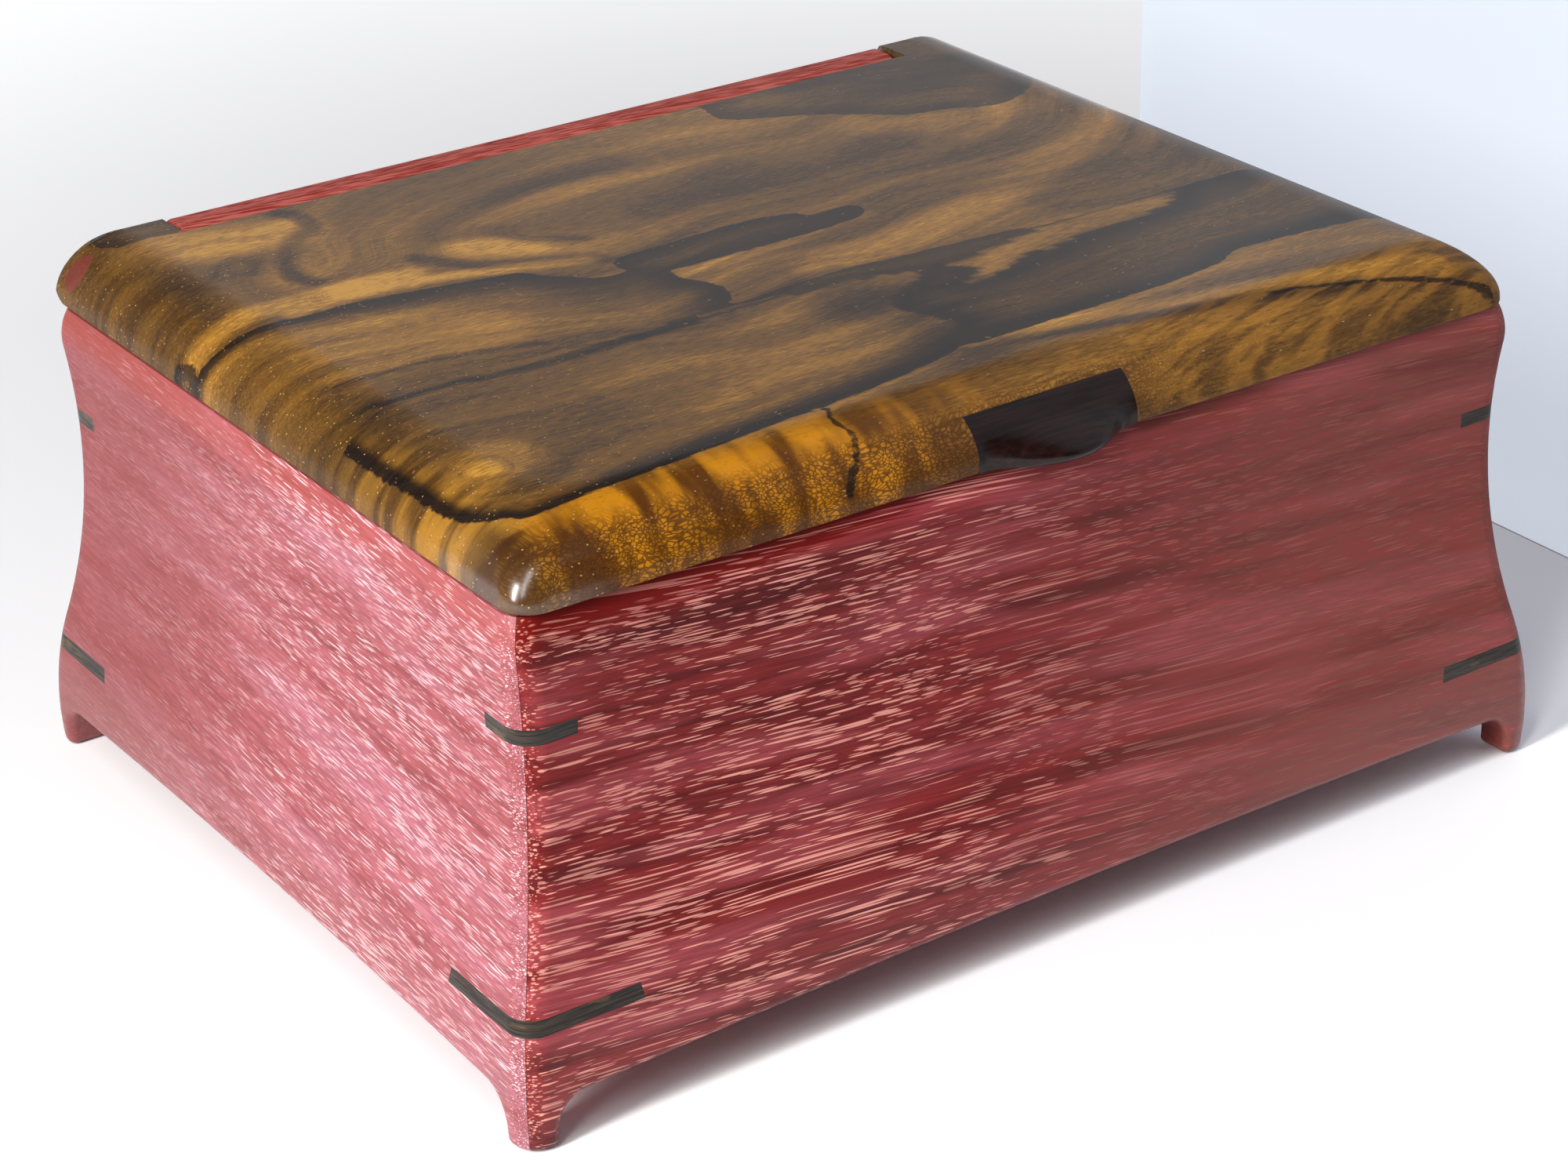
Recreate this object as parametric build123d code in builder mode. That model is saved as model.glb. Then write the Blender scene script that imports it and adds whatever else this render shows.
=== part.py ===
"""Keepsake box with coved, mitred sides and a pillow lid that turns on pins in a raised rail.

Millimetres, +Z up. The origin is on the table under the middle of the box, +X runs along the
front from left to right and +Y to the back. The lid is modelled shut.
"""

import os
from math import cos, radians, sin, sqrt

from build123d import *

# The case, measured at its rim, where the coved outside is narrowest.
rim_length = 230.0
rim_depth = 176.0
case_height = 100.0
rim_wall = 11.5  # from the rim's outside plane to the flat inside face

# The outside of a side, from the foot up: a round belly, a long cove and a small lip.
# Each flare is how far that place stands out from the rim's outside plane.
belly_flare = 8.8
belly_height = 8.0
belly_radius = 90.0
cove_flare = 0.5
cove_height = 73.0
lip_drop = 8.0  # from the rim down to the fullest part of the lip's underside
rim_flare = 0.1
corner_round = 5.3  # on the upright corners
edge_round = 1.8  # on the feet and along the arched bottom edge

# The arch under each side, which leaves a foot at each corner.
arch_height = 11.2  # in the middle of a side
arch_shoulder = 9.5  # beside the feet, before the rounding
arch_round = 6.0
foot_width = 7.6  # from the belly's corner to the arch, along either side

# The loose bottom panel in its grooves, and the padded lining on it.
bottom_thickness = 5.0
bottom_height = 14.0
groove_depth = 5.0
groove_slack = 0.6  # at each edge, for the panel to swell into
lining_thickness = 2.0
lining_slack = 0.3

# The keys across the mitres, let into one depth of saw cut before the sides were coved.
key_thickness = 3.1
key_reach = 28.0  # along either side from the belly's corner
key_heights = {"lower": 24.8, "upper": 77.2}

# The lid.
lid_gap = 0.3  # between the rim and the shut lid
lid_thickness = 12.6
lid_front_overhang = 1.4  # and at the back
lid_end_overhang = 0.2
lid_round_width = 16.8  # the elliptical round-over of the front and the two ends
lid_round_height = 11.7
lid_front_corner = 6.0  # at the lid's underside
lid_corner_growth = 0.5  # of the corners' radius for each millimetre that the round-over draws in
lid_back_corner = 2.5
lid_under_round = 0.6

# The hinge: a rail on the back panel between two ears of the lid, with a pin in each ear.
rail_length = 181.0
rail_thickness = 10.6
rail_drop = 0.4  # of the rail's top below the lid's top
rail_back_round = 2.0
rail_end_round = 1.5
notch_gap = 0.3  # between the rail's front and the lid
notch_end_gap = 0.6
pin_radius = 1.5
pin_clearance = 0.05
pin_in_rail = 12.0
pin_bore_spare = 1.0
plug_radius = 3.2
plug_seat = 106.0  # from the middle of the box to the inner face of each plug
ear_clearance = 0.3  # between the turning ears and the rim

# The thumb pull, let into the middle of the lid's front edge.
pull_length = 36.8
pull_height = 9.4
pull_depth = 9.0
pull_lip = 6.8  # how far the lip stands out
pull_lip_length = 29.0
pull_nose_height = 1.5  # above the lid's underside, where the lip stands out furthest
pull_lip_height = 7.4  # above the lid's underside, where the lip has died into the lid

# What follows from them.
half_length = rim_length / 2
half_depth = rim_depth / 2
inside_length = rim_length - 2 * rim_wall
inside_depth = rim_depth - 2 * rim_wall
belly_half_length = half_length + belly_flare
belly_half_depth = half_depth + belly_flare
mitre_offset = half_length - half_depth
flare_step = belly_flare - cove_flare
cove_rise = cove_height - belly_height
lip_height = case_height - lip_drop
cove_radius = (cove_rise**2 + flare_step**2) / (2 * flare_step) - belly_radius
lid_bottom = case_height + lid_gap
lid_top = lid_bottom + lid_thickness
lid_half_length = half_length + lid_end_overhang
lid_half_depth = half_depth + lid_front_overhang
round_start = lid_top - lid_round_height
rail_top = lid_top - rail_drop
rail_front = lid_half_depth - rail_thickness
pin_y = rail_front + rail_thickness / 2
pin_z = rail_top - rail_thickness / 2
notch_front = rail_front - notch_gap
notch_half_length = rail_length / 2 + notch_end_gap
ear_radius = pin_z - case_height - ear_clearance
lip_nose = lid_bottom + pull_nose_height
lip_end = lid_bottom + pull_lip_height
lid_steps = 8  # sections up the round-over
pull_steps = 10  # sections up the pull
pull_spans = 12  # between the points along the pull's front
pull_stations = [pull_length * (step / pull_spans - 0.5) for step in range(pull_spans + 1)]
reach = 2 * rim_length  # longer than anything here, for cuts that run right through
hair = 0.01  # a width too small to matter
corners = {"front_left": (-1, -1), "front_right": (1, -1), "back_left": (-1, 1), "back_right": (1, 1)}


def side_outline(half_width):
    """The outside of two opposite sides as one closed line, half_width apart from the middle at the rim."""
    belly_centre = Vector(half_width + belly_flare - belly_radius, belly_height)
    cove_centre = Vector(half_width + cove_flare + cove_radius, cove_height)
    bend = belly_centre + (cove_centre - belly_centre) * (belly_radius / (belly_radius + cove_radius))
    foot = belly_centre + Vector(sqrt(belly_radius**2 - belly_height**2), -belly_height)
    lip_rise = lip_height - cove_height
    lip = cove_centre + Vector(-sqrt(cove_radius**2 - lip_rise**2), lip_rise)
    rim = (half_width + rim_flare, case_height)
    with BuildLine() as outline:
        Polyline((0, 0), foot)
        ThreePointArc(foot, (half_width + belly_flare, belly_height), bend)
        cove = ThreePointArc(bend, (half_width + cove_flare, cove_height), lip)
        TangentArc(lip, rim, tangent=cove % 1)
        Polyline(rim, (0, case_height))
        mirror(about=Plane.YZ)
    return outline.line


def arch_opening(half_width):
    """The arched gap between two feet, seen square on."""
    half_gap = half_width - foot_width
    with BuildSketch() as opening:
        with BuildLine():
            ThreePointArc((-half_gap, arch_shoulder), (0, arch_height), (half_gap, arch_shoulder))
            Polyline((half_gap, arch_shoulder), (half_gap, 0), (-half_gap, 0), (-half_gap, arch_shoulder))
        make_face()
        fillet(opening.vertices().group_by(Axis.Y)[-1], arch_round)
    return opening.sketch


def is_upright_corner(edge):
    """Whether an edge of the case runs up one of its mitred corners."""
    middle = edge @ 0.5
    on_mitre = abs(abs(middle.X) - abs(middle.Y) - mitre_offset) < hair
    return on_mitre and edge.bounding_box().size.Z > corner_round


def is_lower_outside(edge):
    """Whether an edge of the case runs round the outside of a foot or along the outside of an arch."""
    middle = edge @ 0.5
    outside = abs(middle.X) > half_length + belly_flare / 2 or abs(middle.Y) > half_depth + belly_flare / 2
    return outside and edge.bounding_box().max.Z < arch_height + hair


def is_rail_end(edge):
    """Whether an edge of the rail runs round the outside of one of its ends."""
    middle = edge @ 0.5
    return abs(abs(middle.X) - rail_length / 2) < hair and middle.Z > lip_height + hair


def mitre_plane(side_x, side_y):
    """The upright plane of one corner's mitre, facing the front or back panel that ends there."""
    return Plane(origin=(side_x * half_length, side_y * half_depth, 0), z_dir=(-side_x, side_y, 0))


def key_plan(side_x, side_y):
    """The plan of one key, before its outside is coved with the case."""
    corner_x = side_x * belly_half_length
    corner_y = side_y * belly_half_depth
    with BuildSketch() as plan:
        Polygon(
            (corner_x, corner_y),
            (corner_x - side_x * key_reach, corner_y),
            (corner_x, corner_y - side_y * key_reach),
            align=None,
        )
    return plan.sketch


# The outside of the case as one solid: two outlines crossed, so that its corners are true mitres.
with BuildPart() as case_blank:
    with BuildSketch(Plane.XZ):
        add(side_outline(half_length))
        make_face()
    extrude(amount=reach, both=True)
    with BuildSketch(Plane.YZ):
        add(side_outline(half_depth))
        make_face()
    extrude(amount=reach, both=True, mode=Mode.INTERSECT)
    with BuildSketch(Plane.XZ):
        add(arch_opening(belly_half_length))
    extrude(amount=reach, both=True, mode=Mode.SUBTRACT)
    with BuildSketch(Plane.YZ):
        add(arch_opening(belly_half_depth))
    extrude(amount=reach, both=True, mode=Mode.SUBTRACT)
    fillet(case_blank.edges().filter_by(is_upright_corner), corner_round)
    fillet(case_blank.edges().filter_by(is_lower_outside), edge_round)

# The keys, each cut from a slip of dark wood and coved with the case.
key_solids = {}
for level, height in key_heights.items():
    for corner, (side_x, side_y) in corners.items():
        with BuildPart() as key:
            with BuildSketch(Plane.XY.offset(height)):
                add(key_plan(side_x, side_y))
            extrude(amount=key_thickness / 2, both=True)
            add(case_blank.part, mode=Mode.INTERSECT)
        key.part.label = f"key_{level}_{corner}"
        key_solids[key.part.label] = key.part

# A long and a short side, each cut at one mitre and at its own middle, then mirrored whole.
with BuildPart() as long_side:
    add(case_blank.part)
    split(bisect_by=mitre_plane(-1, -1), keep=Keep.TOP)
    split(bisect_by=Plane.YZ, keep=Keep.BOTTOM)
    mirror(about=Plane.YZ)
with BuildPart() as short_side:
    add(case_blank.part)
    split(bisect_by=mitre_plane(-1, -1), keep=Keep.BOTTOM)
    split(bisect_by=Plane.XZ, keep=Keep.TOP)
    mirror(about=Plane.XZ)

# What is cut out of the four sides: the inside, the groove for the bottom panel and the key slots.
with BuildPart() as case_cuts:
    with BuildSketch():
        Rectangle(inside_length, inside_depth)
    extrude(amount=case_height)
    with BuildSketch(Plane.XY.offset(bottom_height)):
        Rectangle(inside_length + 2 * groove_depth, inside_depth + 2 * groove_depth)
    extrude(amount=bottom_thickness)
    for height in key_heights.values():
        with BuildSketch(Plane.XY.offset(height)):
            for side_x, side_y in corners.values():
                add(key_plan(side_x, side_y))
        extrude(amount=key_thickness / 2, both=True)

with BuildPart() as front_panel:
    add(long_side.part)
    add(case_cuts.part, mode=Mode.SUBTRACT)
front_panel.part.label = "front_panel"

with BuildPart() as left_panel:
    add(short_side.part)
    add(case_cuts.part, mode=Mode.SUBTRACT)
left_panel.part.label = "left_panel"

with BuildPart() as right_panel:
    mirror(left_panel.part, about=Plane.YZ)
right_panel.part.label = "right_panel"

# The rail stands up from the back panel between the lid's ears. Its front is round about the
# pins, so that the lid's notch turns clear of it.
with BuildPart() as rail:
    with BuildSketch(Plane.YZ) as rail_end:
        with Locations((pin_y, (lip_height + rail_top) / 2)):
            Rectangle(rail_thickness, rail_top - lip_height)
        fillet(rail_end.vertices().group_by(Axis.Y)[-1].sort_by(Axis.X)[0], rail_thickness / 2 - hair)
        fillet(rail_end.vertices().group_by(Axis.Y)[-1].sort_by(Axis.X)[-1], rail_back_round)
    extrude(amount=rail_length / 2, both=True)
    fillet(rail.edges().filter_by(is_rail_end), rail_end_round)

with BuildPart() as back_panel:
    mirror(front_panel.part, about=Plane.XZ)
    add(rail.part)
    for end in (-1, 1):
        with BuildSketch(Plane.YZ.offset(end * (rail_length / 2 - pin_in_rail - pin_bore_spare))):
            with Locations((pin_y, pin_z)):
                Circle(pin_radius + pin_clearance)
        extrude(amount=end * reach, mode=Mode.SUBTRACT)
back_panel.part.label = "back_panel"

with BuildPart() as bottom_panel:
    with BuildSketch(Plane.XY.offset(bottom_height)):
        panel_margin = 2 * (groove_depth - groove_slack)
        Rectangle(inside_length + panel_margin, inside_depth + panel_margin)
    extrude(amount=bottom_thickness)
bottom_panel.part.label = "bottom_panel"

with BuildPart() as base_lining:
    with BuildSketch(Plane.XY.offset(bottom_height + bottom_thickness)):
        Rectangle(inside_length - 2 * lining_slack, inside_depth - 2 * lining_slack)
    extrude(amount=lining_thickness)
base_lining.part.label = "base_lining"


def lid_inset(height):
    """How far the lid's round-over has drawn its front and ends in at a height."""
    climb = max(0.0, (height - round_start) / lid_round_height)
    return lid_round_width * (1 - sqrt(1 - min(1.0, climb) ** 2))


def lid_section(height):
    """The lid's plan at a height: narrower towards the top on the front and the two ends, not the back."""
    inset = lid_inset(height)
    with BuildSketch(Plane.XY.offset(height)) as section:
        with Locations((0, inset / 2)):
            Rectangle(2 * (lid_half_length - inset), 2 * lid_half_depth - inset)
        by_depth = section.vertices().group_by(Axis.Y)
        fillet(by_depth[0], lid_front_corner + lid_corner_growth * inset)
        fillet(by_depth[-1], lid_back_corner)
    return section.sketch


def lip_stand(along, height):
    """How far the pull's lip stands out of the lid's front, along from its middle at a height."""
    across = min(1.0, abs(along) / (pull_lip_length / 2))
    above_nose = min(1.0, abs(height - lip_nose) / (lip_end - lip_nose))
    return pull_lip * cos(radians(90 * across)) * cos(radians(90 * above_nose)) ** 2


def pull_section(height):
    """The pull's plan at a height: flush with the lid at its two ends, with the lip between them."""
    lid_front = lid_inset(height) - lid_half_depth
    back_edge = pull_depth - lid_half_depth
    with BuildSketch(Plane.XY.offset(height)) as section:
        with BuildLine():
            front = Spline([(along, lid_front - lip_stand(along, height)) for along in pull_stations])
            Polyline(front @ 1, (pull_length / 2, back_edge), (-pull_length / 2, back_edge), front @ 0)
        make_face()
    return section.sketch


# The lid's outside: a short straight edge, then the round-over lofted through its sections.
with BuildPart() as lid_blank:
    for step in range(lid_steps + 1):
        add(lid_section(round_start + lid_round_height * sin(radians(90 * step / lid_steps))))
    loft()
    add(lid_section(lid_bottom))
    extrude(amount=round_start - lid_bottom)

# The lid seen from its end: flat under, and round about the pins below its back edge.
with BuildPart() as lid_profile:
    with BuildSketch(Plane.YZ):
        with BuildLine():
            back_drop = sqrt(ear_radius**2 - (lid_half_depth - pin_y) ** 2)
            under_back = (lid_half_depth, pin_z - back_drop)
            upper_back = (lid_half_depth, lid_top - rail_back_round)
            under = Line((-reach, lid_bottom), (pin_y, lid_bottom))
            TangentArc(under @ 1, under_back, tangent=(1, 0))
            Line(under_back, upper_back)
            top_round = TangentArc(upper_back, (lid_half_depth - rail_back_round, lid_top), tangent=(0, 1))
            Polyline(top_round @ 1, (-reach, lid_top), under @ 0)
        make_face()
    extrude(amount=reach, both=True)

with BuildPart() as lid_panel:
    add(lid_blank.part)
    under_front = lid_panel.edges().group_by(Axis.Z)[0].filter_by(lambda edge: (edge @ 0.5).Y < pin_y)
    fillet(under_front, lid_under_round)
    add(lid_profile.part, mode=Mode.INTERSECT)
    with BuildSketch(Plane.XY.offset(lid_bottom)):
        with Locations((0, pull_depth - lid_half_depth)):
            Rectangle(pull_length, reach, align=(Align.CENTER, Align.MAX))
    extrude(amount=pull_height, mode=Mode.SUBTRACT)
    with BuildSketch(Plane.XY.offset(lid_bottom)):
        with Locations((0, notch_front)):
            Rectangle(2 * notch_half_length, reach, align=(Align.CENTER, Align.MIN))
    extrude(amount=reach, mode=Mode.SUBTRACT)
    for end in (-1, 1):
        with BuildSketch(Plane.YZ.offset(end * rail_length / 2)):
            with Locations((pin_y, pin_z)):
                Circle(pin_radius)
        extrude(amount=end * reach, mode=Mode.SUBTRACT)
        with BuildSketch(Plane.YZ.offset(end * plug_seat)):
            with Locations((pin_y, pin_z)):
                Circle(plug_radius)
        extrude(amount=end * reach, mode=Mode.SUBTRACT)
lid_panel.part.label = "lid_panel"

with BuildPart() as lid_pull:
    for step in range(pull_steps + 1):
        add(pull_section(lid_bottom + pull_height * step / pull_steps))
    loft()
lid_pull.part.label = "lid_pull"

# A pin is fast in each ear and turns in the rail; a plug hides it from the lid's end.
hinge_pieces = {}
for side, end in {"left": -1, "right": 1}.items():
    with BuildPart() as pin:
        with BuildSketch(Plane.YZ.offset(end * (rail_length / 2 - pin_in_rail))):
            with Locations((pin_y, pin_z)):
                Circle(pin_radius)
        extrude(amount=end * (plug_seat - rail_length / 2 + pin_in_rail))
    pin.part.label = f"hinge_pin_{side}"
    with BuildPart() as plug:
        with BuildSketch(Plane.YZ.offset(end * plug_seat)):
            with Locations((pin_y, pin_z)):
                Circle(plug_radius)
        extrude(amount=end * (lid_half_length - plug_seat))
        add(lid_blank.part, mode=Mode.INTERSECT)
    plug.part.label = f"pin_plug_{side}"
    hinge_pieces[pin.part.label] = pin.part
    hinge_pieces[plug.part.label] = plug.part

os.makedirs("parts", exist_ok=True)
for panel in (front_panel, back_panel, left_panel, right_panel, bottom_panel):
    export_step(panel.part, f"parts/{panel.part.label}.step")
export_step(base_lining.part, "parts/base_lining.step")
export_step(lid_panel.part, "parts/lid_panel.step")
export_step(lid_pull.part, "parts/lid_pull.step")
for name, solid in (key_solids | hinge_pieces).items():
    export_step(solid, f"parts/{name}.step")
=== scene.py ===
"""A coved keepsake box with a pin-hinged pillow lid, dressed in the woods it is made of."""

from math import radians

import bmesh
import bpy
import numpy as np
from mathutils import Matrix, Vector


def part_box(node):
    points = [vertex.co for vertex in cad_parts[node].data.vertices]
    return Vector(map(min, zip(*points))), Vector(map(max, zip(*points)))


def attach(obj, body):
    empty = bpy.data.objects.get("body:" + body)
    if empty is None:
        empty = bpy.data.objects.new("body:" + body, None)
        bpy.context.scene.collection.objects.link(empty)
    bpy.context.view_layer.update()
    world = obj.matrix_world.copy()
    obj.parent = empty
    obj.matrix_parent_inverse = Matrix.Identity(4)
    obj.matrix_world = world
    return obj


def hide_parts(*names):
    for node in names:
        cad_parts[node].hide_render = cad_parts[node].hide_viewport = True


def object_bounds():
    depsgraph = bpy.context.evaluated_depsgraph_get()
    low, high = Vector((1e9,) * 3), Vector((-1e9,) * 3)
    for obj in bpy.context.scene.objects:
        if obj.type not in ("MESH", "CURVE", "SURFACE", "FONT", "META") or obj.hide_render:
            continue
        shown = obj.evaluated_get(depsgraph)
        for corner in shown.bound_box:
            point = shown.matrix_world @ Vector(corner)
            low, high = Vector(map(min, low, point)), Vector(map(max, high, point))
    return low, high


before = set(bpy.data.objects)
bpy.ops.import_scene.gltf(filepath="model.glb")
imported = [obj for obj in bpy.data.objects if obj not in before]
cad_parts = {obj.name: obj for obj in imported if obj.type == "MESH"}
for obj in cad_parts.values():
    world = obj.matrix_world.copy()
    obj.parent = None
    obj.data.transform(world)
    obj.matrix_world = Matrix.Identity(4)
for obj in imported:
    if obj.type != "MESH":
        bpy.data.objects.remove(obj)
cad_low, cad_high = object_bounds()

# ---- Camera ----
# It stands off the front left corner of the box and looks a little down on the lid, with a long lens.
# Its turn is given by its own axes to the right and to the back, made square to each other.
camera_data = bpy.data.cameras.new("camera")
camera_data.lens = 81.67
camera_data.sensor_width = 36.0
camera_data.clip_start = 0.01
camera_data.clip_end = 20.0
camera = bpy.data.objects.new("camera", camera_data)
camera_right = Vector((0.8173, -0.5759, -0.0181))
camera_back = Vector((-0.5083, -0.7355, 0.4479)).normalized()
camera_up = camera_back.cross(camera_right).normalized()
camera_right = camera_up.cross(camera_back)
camera_turn = Matrix((camera_right, camera_up, camera_back)).transposed()
camera.matrix_world = Matrix.Translation((-0.37613, -0.54461, 0.36806)) @ camera_turn.to_4x4()
bpy.context.scene.collection.objects.link(camera)
bpy.context.scene.camera = camera
bpy.context.scene.view_settings.view_transform = "Standard"


# ---- Studio ----
# A white paper floor, a pale card stood on edge by the right end, and soft light from the left.
# The card shows from the box's side only, so it hides nothing from behind.
class Bench:
    """Lays the nodes of one material or group, and joins them up."""

    def __init__(self, tree):
        self.tree = tree

    def join(self, value, socket):
        if isinstance(value, bpy.types.NodeSocket):
            self.tree.links.new(value, socket)
        else:
            socket.default_value = value

    def lay(self, kind, sockets=None, **settings):
        node = self.tree.nodes.new("ShaderNode" + kind)
        for setting, value in settings.items():
            setattr(node, setting, value)
        for socket, value in (sockets or {}).items():
            self.join(value, node.inputs[socket])
        return node

    def math(self, operation, *values):
        return self.lay("Math", dict(enumerate(values)), operation=operation).outputs[0]

    def shift(self, place, by):
        return self.lay("VectorMath", {0: place, 1: by}, operation="ADD").outputs[0]

    def stretch(self, place, scale, turn=(0, 0, 0)):
        sockets = {"Vector": place, "Scale": scale, "Rotation": turn}
        return self.lay("Mapping", sockets).outputs[0]

    def noise(self, place, detail=2.0, rough=0.5):
        sockets = {"Vector": place, "Scale": 1.0, "Detail": detail, "Roughness": rough}
        return self.lay("TexNoise", sockets).outputs

    def cells(self, place, feature="F1", scatter=1.0):
        sockets = {"Vector": place, "Scale": 1.0, "Randomness": scatter}
        return self.lay("TexVoronoi", sockets, feature=feature).outputs

    def ramp(self, value, start, end, low=0.0, high=1.0):
        sockets = {0: value, 1: start, 2: end, 3: low, 4: high}
        return self.lay("MapRange", sockets, interpolation_type="SMOOTHSTEP").outputs[0]

    def mix(self, share, under, over, way="MIX"):
        node = self.lay("Mix", data_type="RGBA", blend_type=way)
        for socket, value in ((0, share), (6, under), (7, over)):
            self.join(value, node.inputs[socket])
        return node.outputs[2]

    def millimetres(self, scale=(1.0, 1.0, 1.0), turn=(0, 0, 0)):
        """The place on the piece in millimetres, stretched and turned."""
        place = self.lay("TexCoord").outputs["Object"]
        return self.stretch(place, [1000.0 * share for share in scale], turn)


def paint(red, green, blue):
    """A colour from the 0 to 255 values of a paint card."""
    shares = [value / 255 for value in (red, green, blue)]
    return tuple(s / 12.92 if s <= 0.04045 else ((s + 0.055) / 1.055) ** 2.4 for s in shares) + (1.0,)


def new_finish(name, surface):
    """A material whose shader has plain values, and the bench that its pattern is laid on."""
    material = bpy.data.materials.new(name)
    material.use_nodes = True
    bench = Bench(material.node_tree)
    shader = material.node_tree.nodes["Principled BSDF"]
    for socket, value in surface.items():
        shader.inputs[socket].default_value = value
    return material, bench, shader


def new_piece(name, corners, faces, material):
    """A piece of the scene, made from its corners and faces."""
    mesh = bpy.data.meshes.new(name)
    mesh.from_pydata(corners, [], faces)
    mesh.materials.append(material)
    piece = bpy.data.objects.new(name, mesh)
    bpy.context.scene.collection.objects.link(piece)
    return piece


def paper(name, colour, fibre_colour, glow, seen_by):
    """Matt paper that shows brighter than it is lit, so that it reads as white.

    Only the named kinds of ray see the glow. It goes from the first strength, within 0.20 m of the
    box's middle, to the second one, from 0.70 m on.
    """
    material, bench, shader = new_finish(name, {"Roughness": 0.9, "Specular IOR Level": 0.1})
    fibre = bench.noise(bench.millimetres((0.01, 0.01, 0.01)))[0]
    bench.join(bench.mix(fibre, colour, fibre_colour), shader.inputs["Base Color"])
    shader.inputs["Emission Color"].default_value = colour
    level_place = bench.millimetres((0.001, 0.001, 0.0))
    away = bench.lay("VectorMath", {0: level_place}, operation="LENGTH").outputs["Value"]
    path = bench.lay("LightPath").outputs
    seen = 0.0
    for kind in seen_by:
        seen = bench.math("ADD", seen, path[kind])
    seen = bench.math("MINIMUM", seen, 1.0)
    strength = bench.math("MULTIPLY", seen, bench.ramp(away, 0.20, 0.70, *glow))
    bench.join(strength, shader.inputs["Emission Strength"])
    return material, bench, shader


floor_white, floor_fibre = paint(246, 247, 250), paint(250, 250, 252)
floor_rays = ("Is Camera Ray", "Is Glossy Ray", "Is Transmission Ray")
floor_paper, _, _ = paper("floor paper", floor_white, floor_fibre, (0.0, 0.62), floor_rays)
floor_reach = 3.0
floor_signs = ((-1, -1), (1, -1), (1, 1), (-1, 1))
floor_corners = [(x * floor_reach, y * floor_reach, 0) for x, y in floor_signs]
floor = new_piece("floor", floor_corners, [(0, 1, 2, 3)], floor_paper)

card_gap = 0.072  # from the box's right end
card_back, card_front, card_height = 0.118, -0.40, 0.60
card_grey, card_fibre = paint(144, 150, 158), paint(148, 153, 160)
card_glow = 1.7
card_rays = ("Is Camera Ray", "Is Transmission Ray")
card_paper, card_bench, card_shader = paper(
    "card paper", card_grey, card_fibre, (card_glow, card_glow), card_rays
)
card_side = card_bench.lay("NewGeometry").outputs["Backfacing"]
card_clear = card_bench.lay("BsdfTransparent").outputs[0]
card_mix = card_bench.lay("MixShader", {0: card_side, 1: card_shader.outputs[0], 2: card_clear})
card_bench.join(card_mix.outputs[0], card_paper.node_tree.nodes["Material Output"].inputs["Surface"])
card_x = cad_high.x + card_gap
card_corners = [(card_x, y, z) for y, z in (
    (card_back, 0), (card_back, card_height), (card_front, card_height), (card_front, 0)
)]
card = new_piece("card", card_corners, [(3, 2, 1, 0)], card_paper)

world = bpy.data.worlds.new("studio")
bpy.context.scene.world = world
world.use_nodes = True
sky_bench = Bench(world.node_tree)
sky = world.node_tree.nodes["Background"]
sky.inputs["Color"].default_value = paint(244, 247, 255)
# The room is pale low down behind the box, where paper hangs, and dim overhead and to the front.
sky_direction = sky_bench.lay("TexCoord").outputs["Generated"]
sky_x, sky_y, sky_z = sky_bench.lay("SeparateXYZ", {0: sky_direction}).outputs
sky_glow = sky_bench.ramp(sky_z, 0.355, 0.445, 0.50, 0.07)
sky_side = sky_bench.ramp(sky_bench.math("ADD", sky_x, sky_y), -0.5, 0.7, 0.25, 1.0)
sky_glow = sky_bench.math("MULTIPLY", sky_glow, sky_side)
sky_shown = sky_bench.lay("LightPath").outputs["Is Camera Ray"]
sky_bench.join(sky_bench.math("MAXIMUM", sky_glow, sky_shown), sky.inputs["Strength"])


def lamp(name, place, aim, power, width, height, colour):
    """A soft rectangular lamp, its power in watts and its place and sides in metres."""
    data = bpy.data.lights.new(name, "AREA")
    data.shape = "RECTANGLE"
    data.energy = power
    data.size, data.size_y = width, height
    data.color = colour
    lamp_object = bpy.data.objects.new(name, data)
    turn = (Vector(aim) - Vector(place)).to_track_quat("-Z", "Y").to_matrix().to_4x4()
    lamp_object.matrix_world = Matrix.Translation(place) @ turn
    bpy.context.scene.collection.objects.link(lamp_object)
    return lamp_object


lamp("window", (-1.08, -0.22, 0.66), (0, 0, 0.05), 20.0, 0.16, 0.80, (1.0, 0.985, 0.96))
lamp("strip of light", (-0.70, -0.47, 1.05), (0, 0, 0.10), 6.5, 0.16, 1.20, (1.0, 0.985, 0.97))
# The light that the card throws back on the box. The polish shows the card, and not this lamp.
before_card = (card_x - 0.0005, -0.14, 0.30)
fill = lamp("fill", before_card, (0, -0.14, 0.30), 0.5, 0.52, 0.60, (0.82, 0.89, 1.0))
fill.visible_camera = False
fill.visible_glossy = False


# ---- Sides of the case ----
# Four coved sides of a streaked red heartwood, mitred at the corners, oiled and buffed to satin.
# The back carries the fixed rail. The grain runs along each side and falls a little to the right.
def new_group(name, inputs, outputs):
    """A shader group with named sockets, its bench and the sockets that come in."""
    group = bpy.data.node_groups.new(name, "ShaderNodeTree")
    kinds = {1: "NodeSocketFloat", 3: "NodeSocketVector", 4: "NodeSocketColor"}
    for direction, sockets in (("INPUT", inputs), ("OUTPUT", outputs)):
        for socket, value in sockets.items():
            size = 1 if isinstance(value, float) else len(value)
            made = group.interface.new_socket(socket, in_out=direction, socket_type=kinds[size])
            made.default_value = value
    entry = group.nodes.new("NodeGroupInput")
    leave = group.nodes.new("NodeGroupOutput")
    return group, Bench(group), entry.outputs, leave.inputs


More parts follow.
